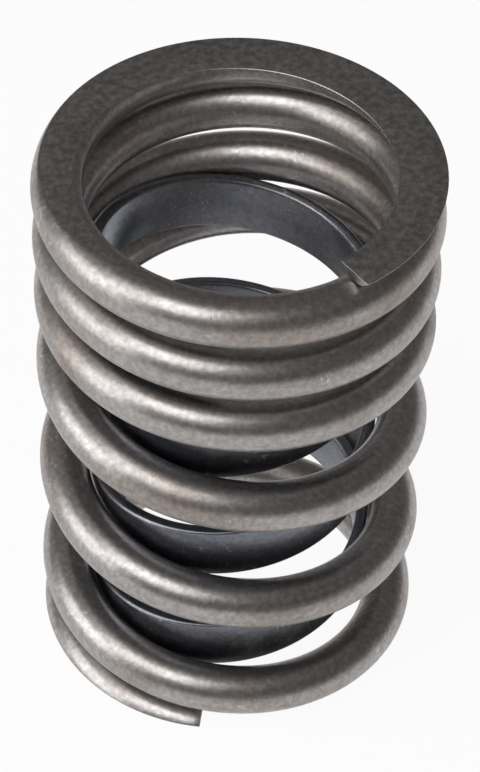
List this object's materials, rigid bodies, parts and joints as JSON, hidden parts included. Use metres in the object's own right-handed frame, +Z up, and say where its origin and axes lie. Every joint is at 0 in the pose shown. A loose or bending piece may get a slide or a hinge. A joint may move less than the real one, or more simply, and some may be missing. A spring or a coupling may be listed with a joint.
{
  "type": "engine valve spring",
  "caption": "Helical compression spring of round steel wire with ground ends, close-wound towards one end, with a counter-wound flat-wire damper inside it.",
  "frame": {"origin": "centre of the lower ground face, on the spring's axis, where it stands on its seat", "axes": "+Z up along the spring's axis, to the close-wound end; +X to the right and -Y towards the viewer in the picture"},
  "size_m": [0.0318, 0.0318, 0.0489],
  "materials": {
    "peened_steel": "satin",
    "dark_strip_steel": "satin"
  },
  "bodies": {
    "root": {"wire_coil": "peened_steel", "damper_strip": "dark_strip_steel"}
  },
  "joints": []
}
